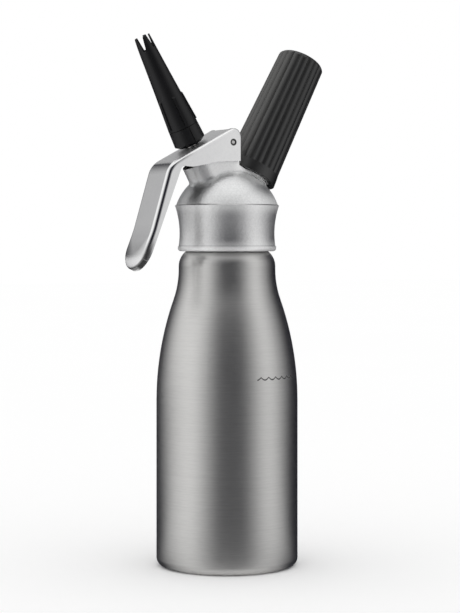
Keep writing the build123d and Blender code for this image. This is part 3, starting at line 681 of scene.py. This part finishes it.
# Gap in the cards at the back: its degrees right of the front, its crisp sides, the heights where it starts and
# is whole, and how clear it is
GAP_RIGHT = 180
GAP_SIDES = math.radians(26), math.radians(23)
GAP_HEIGHTS = 0.3, 0.6
GAP_CLEAR = 0.34
# Dark rings on the floor round the sides and back of the bottle: the radius where each is whole and where it
# ends, and the degrees from the front where it starts and is whole
RINGS = (
    {"whole": 48 * MM, "end": 80 * MM, "start": 25, "full": 75},
    {"whole": 190 * MM, "end": 400 * MM, "start": 85, "full": 125},
)


def white_floor():
    """A plain white floor that takes the object's shadow."""
    mesh = bmesh.new()
    bmesh.ops.create_grid(mesh, x_segments=1, y_segments=1, size=FLOOR_HALF)
    finish = new_finish("floor_white")
    cloud = finish.even_noise(finish.place(), 2, 1.0)
    floor = new_object("floor", mesh, finish.surface({
        "Base Color": finish.blend(cloud, *FLOOR_WHITE),
        "Roughness": 1.0,
        "Specular IOR Level": 0.0,
    }))


def angle_off(finish, where, right):
    """Angle round the object from a direction that is given in degrees to the right of the front."""
    return abs(finish.angle_round(where, FRONT_TURN + math.radians(right - 90)))


def card_cover(finish, where, reach, right, half, soft, lean, top, foot, floor_depth, floor_soft):
    """How much of the light one card takes away, from 0 to 1."""
    height = finish.axis(where, "Z")
    away = angle_off(finish, where, right) + math.radians(lean) * height
    upright = finish.between(height, 0, CARD_FLOOR_FADE)
    wall = finish.between(away, math.radians(half + soft), math.radians(half))
    wall = wall * finish.between(height, top, CARD_WHOLE * top)
    floor = finish.between(away, math.radians(half + floor_soft), math.radians(half))
    cover = CARD_DEPTH * wall * upright + floor_depth * floor * (1 - upright)
    return cover * finish.between(reach, CARD_INNER - MM, foot)


def ring_cover(finish, where, reach, whole, end, start, full):
    """How much of the light one dark ring takes away, from 0 to 1."""
    round_side = finish.between(angle_off(finish, where, 0), math.radians(start), math.radians(full))
    on_floor = finish.between(finish.axis(where, "Z"), 2 * CARD_LIFT, CARD_LIFT)
    return CARD_DEPTH * round_side * on_floor * finish.between(reach, end, whole)


def gap_clearing(finish, where):
    """How much of the cards the gap at the back leaves, from 0 to 1."""
    across = finish.between(angle_off(finish, where, GAP_RIGHT), *GAP_SIDES)
    return 1 - GAP_CLEAR * across * finish.between(finish.axis(where, "Z"), *GAP_HEIGHTS)


def card_grey():
    """Grey where a card or ring is, and clear elsewhere."""
    finish = new_finish("studio_card_grey")
    where = finish.place()
    reach = finish.length(where)
    covers = [card_cover(finish, where, reach, **card) for card in CARDS]
    covers += [ring_cover(finish, where, reach, **ring) for ring in RINGS]
    light = 1
    for cover in covers:
        light = (1 - cover) * light
    shaded = (1 - light) * gap_clearing(finish, where)
    clear = finish.node("ShaderNodeBsdfTransparent")
    grey = finish.node("ShaderNodeEmission", {}, {"Color": CARD_SHADE, "Strength": 1.0})
    mixed = finish.node("ShaderNodeMixShader", {}, {0: shaded, 1: clear, 2: grey})
    finish.node("ShaderNodeOutputMaterial", {}, {"Surface": mixed})
    return finish.owner


def studio_cards():
    """Grey cards with soft edges that stand round the object. Only its reflections see them."""
    mesh = bmesh.new()
    corners = ((CARD_INNER, CARD_LIFT), (CARD_RADIUS, CARD_LIFT), (CARD_RADIUS, CARD_TOP))
    profile = [mesh.verts.new((radius, 0, height)) for radius, height in corners]
    edges = [mesh.edges.new(pair) for pair in zip(profile, profile[1:])]
    bmesh.ops.spin(
        mesh, geom=profile + edges, cent=(0, 0, 0), axis=(0, 0, 1), angle=2 * math.pi,
        steps=CARD_STEPS, use_merge=True, use_duplicate=False,
    )
    cards = new_object("studio_cards", mesh, card_grey())
    cards.visible_camera = False
    cards.visible_diffuse = False
    cards.visible_shadow = False
    cards.visible_transmission = False


def studio_light():
    """Soft white light from all round."""
    world = bpy.data.worlds.new("studio")
    scene.world = world
    finish = Finish(world)
    sky = finish.node("ShaderNodeBackground", {}, {"Color": (1, 1, 1, 1), "Strength": 1.0})
    finish.node("ShaderNodeOutputWorld", {}, {"Surface": sky})
    world.cycles.sampling_method = "NONE"


def photo_camera():
    """The camera at the photograph's viewing angle and frame."""
    data = bpy.data.cameras.new("photo_camera")
    camera = bpy.data.objects.new("photo_camera", data)
    scene.collection.objects.link(camera)
    back = Matrix.Rotation(FRONT_TURN, 3, "Z") @ Vector((0, -1, 0))
    camera.location = back * CAMERA_DISTANCE + Vector((0, 0, CAMERA_HEIGHT))
    camera.rotation_euler = (math.radians(90), 0, FRONT_TURN)
    data.sensor_width = SENSOR
    data.lens = FOCAL_PIXELS / IMAGE_HEIGHT * SENSOR
    data.shift_x = (IMAGE_WIDTH / 2 - OPTICAL_AXIS_X) / IMAGE_HEIGHT
    data.shift_y = (OPTICAL_AXIS_Y - IMAGE_HEIGHT / 2) / IMAGE_HEIGHT
    data.clip_start = CLIP_START
    data.clip_end = CLIP_END
    scene.camera = camera


white_floor()
studio_cards()
studio_light()
photo_camera()
scene.view_settings.view_transform = "Standard"
